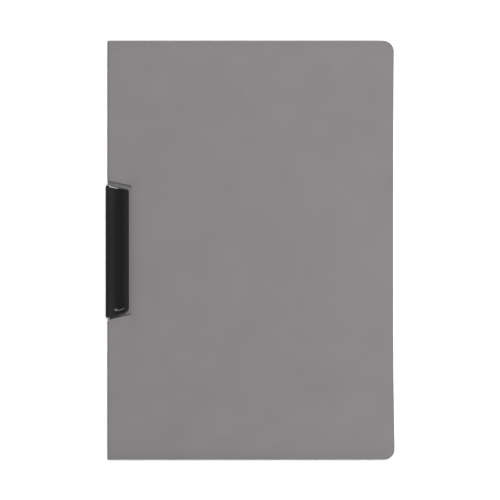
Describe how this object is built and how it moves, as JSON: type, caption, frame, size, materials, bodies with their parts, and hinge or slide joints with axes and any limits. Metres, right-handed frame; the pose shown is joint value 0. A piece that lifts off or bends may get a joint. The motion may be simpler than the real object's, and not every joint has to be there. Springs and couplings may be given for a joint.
{
  "type": "clip folder",
  "caption": "closed A4 report folder of folded grey plastic sheet with a black swing clip in a notch at its spine",
  "frame": {"origin": "under the middle of the whole closed folder, on the plane it lies on", "axes": "+X from the spine to the free edge, +Y up the spine as the folder is read, +Z from the back cover to the front cover"},
  "size_m": [0.2144, 0.31, 0.0066],
  "materials": {
    "cover_plastic": "matte, finely grained polypropylene sheet",
    "clip_plastic": "black moulded plastic, satin"
  },
  "bodies": {
    "back": {"back_cover": "cover_plastic", "clip_base": "clip_plastic"},
    "spine": {"spine_upper": "cover_plastic", "spine_lower": "cover_plastic"},
    "front": {"front_cover": "cover_plastic"},
    "arm": {"clip_arm": "clip_plastic"}
  },
  "joints": [
    {"name": "spine_fold", "type": "hinge", "parent": "back", "child": "spine", "pos_m": [-0.10585, 0, 0], "axis": [0, -1, 0], "range_deg": [0, 90]},
    {"name": "cover_fold", "type": "hinge", "parent": "spine", "child": "front", "pos_m": [-0.10585, 0, 0.0058], "axis": [0, -1, 0], "range_deg": [0, 90]},
    {"name": "clip_swing", "type": "hinge", "parent": "back", "child": "arm", "pos_m": [-0.10435, -0.0472, 0.0036], "axis": [0, 0, 1], "range_deg": [0, 90]}
  ],
  "couplings": [
    {"joint": "spine_fold", "follows": "cover_fold", "ratio": 1}
  ]
}
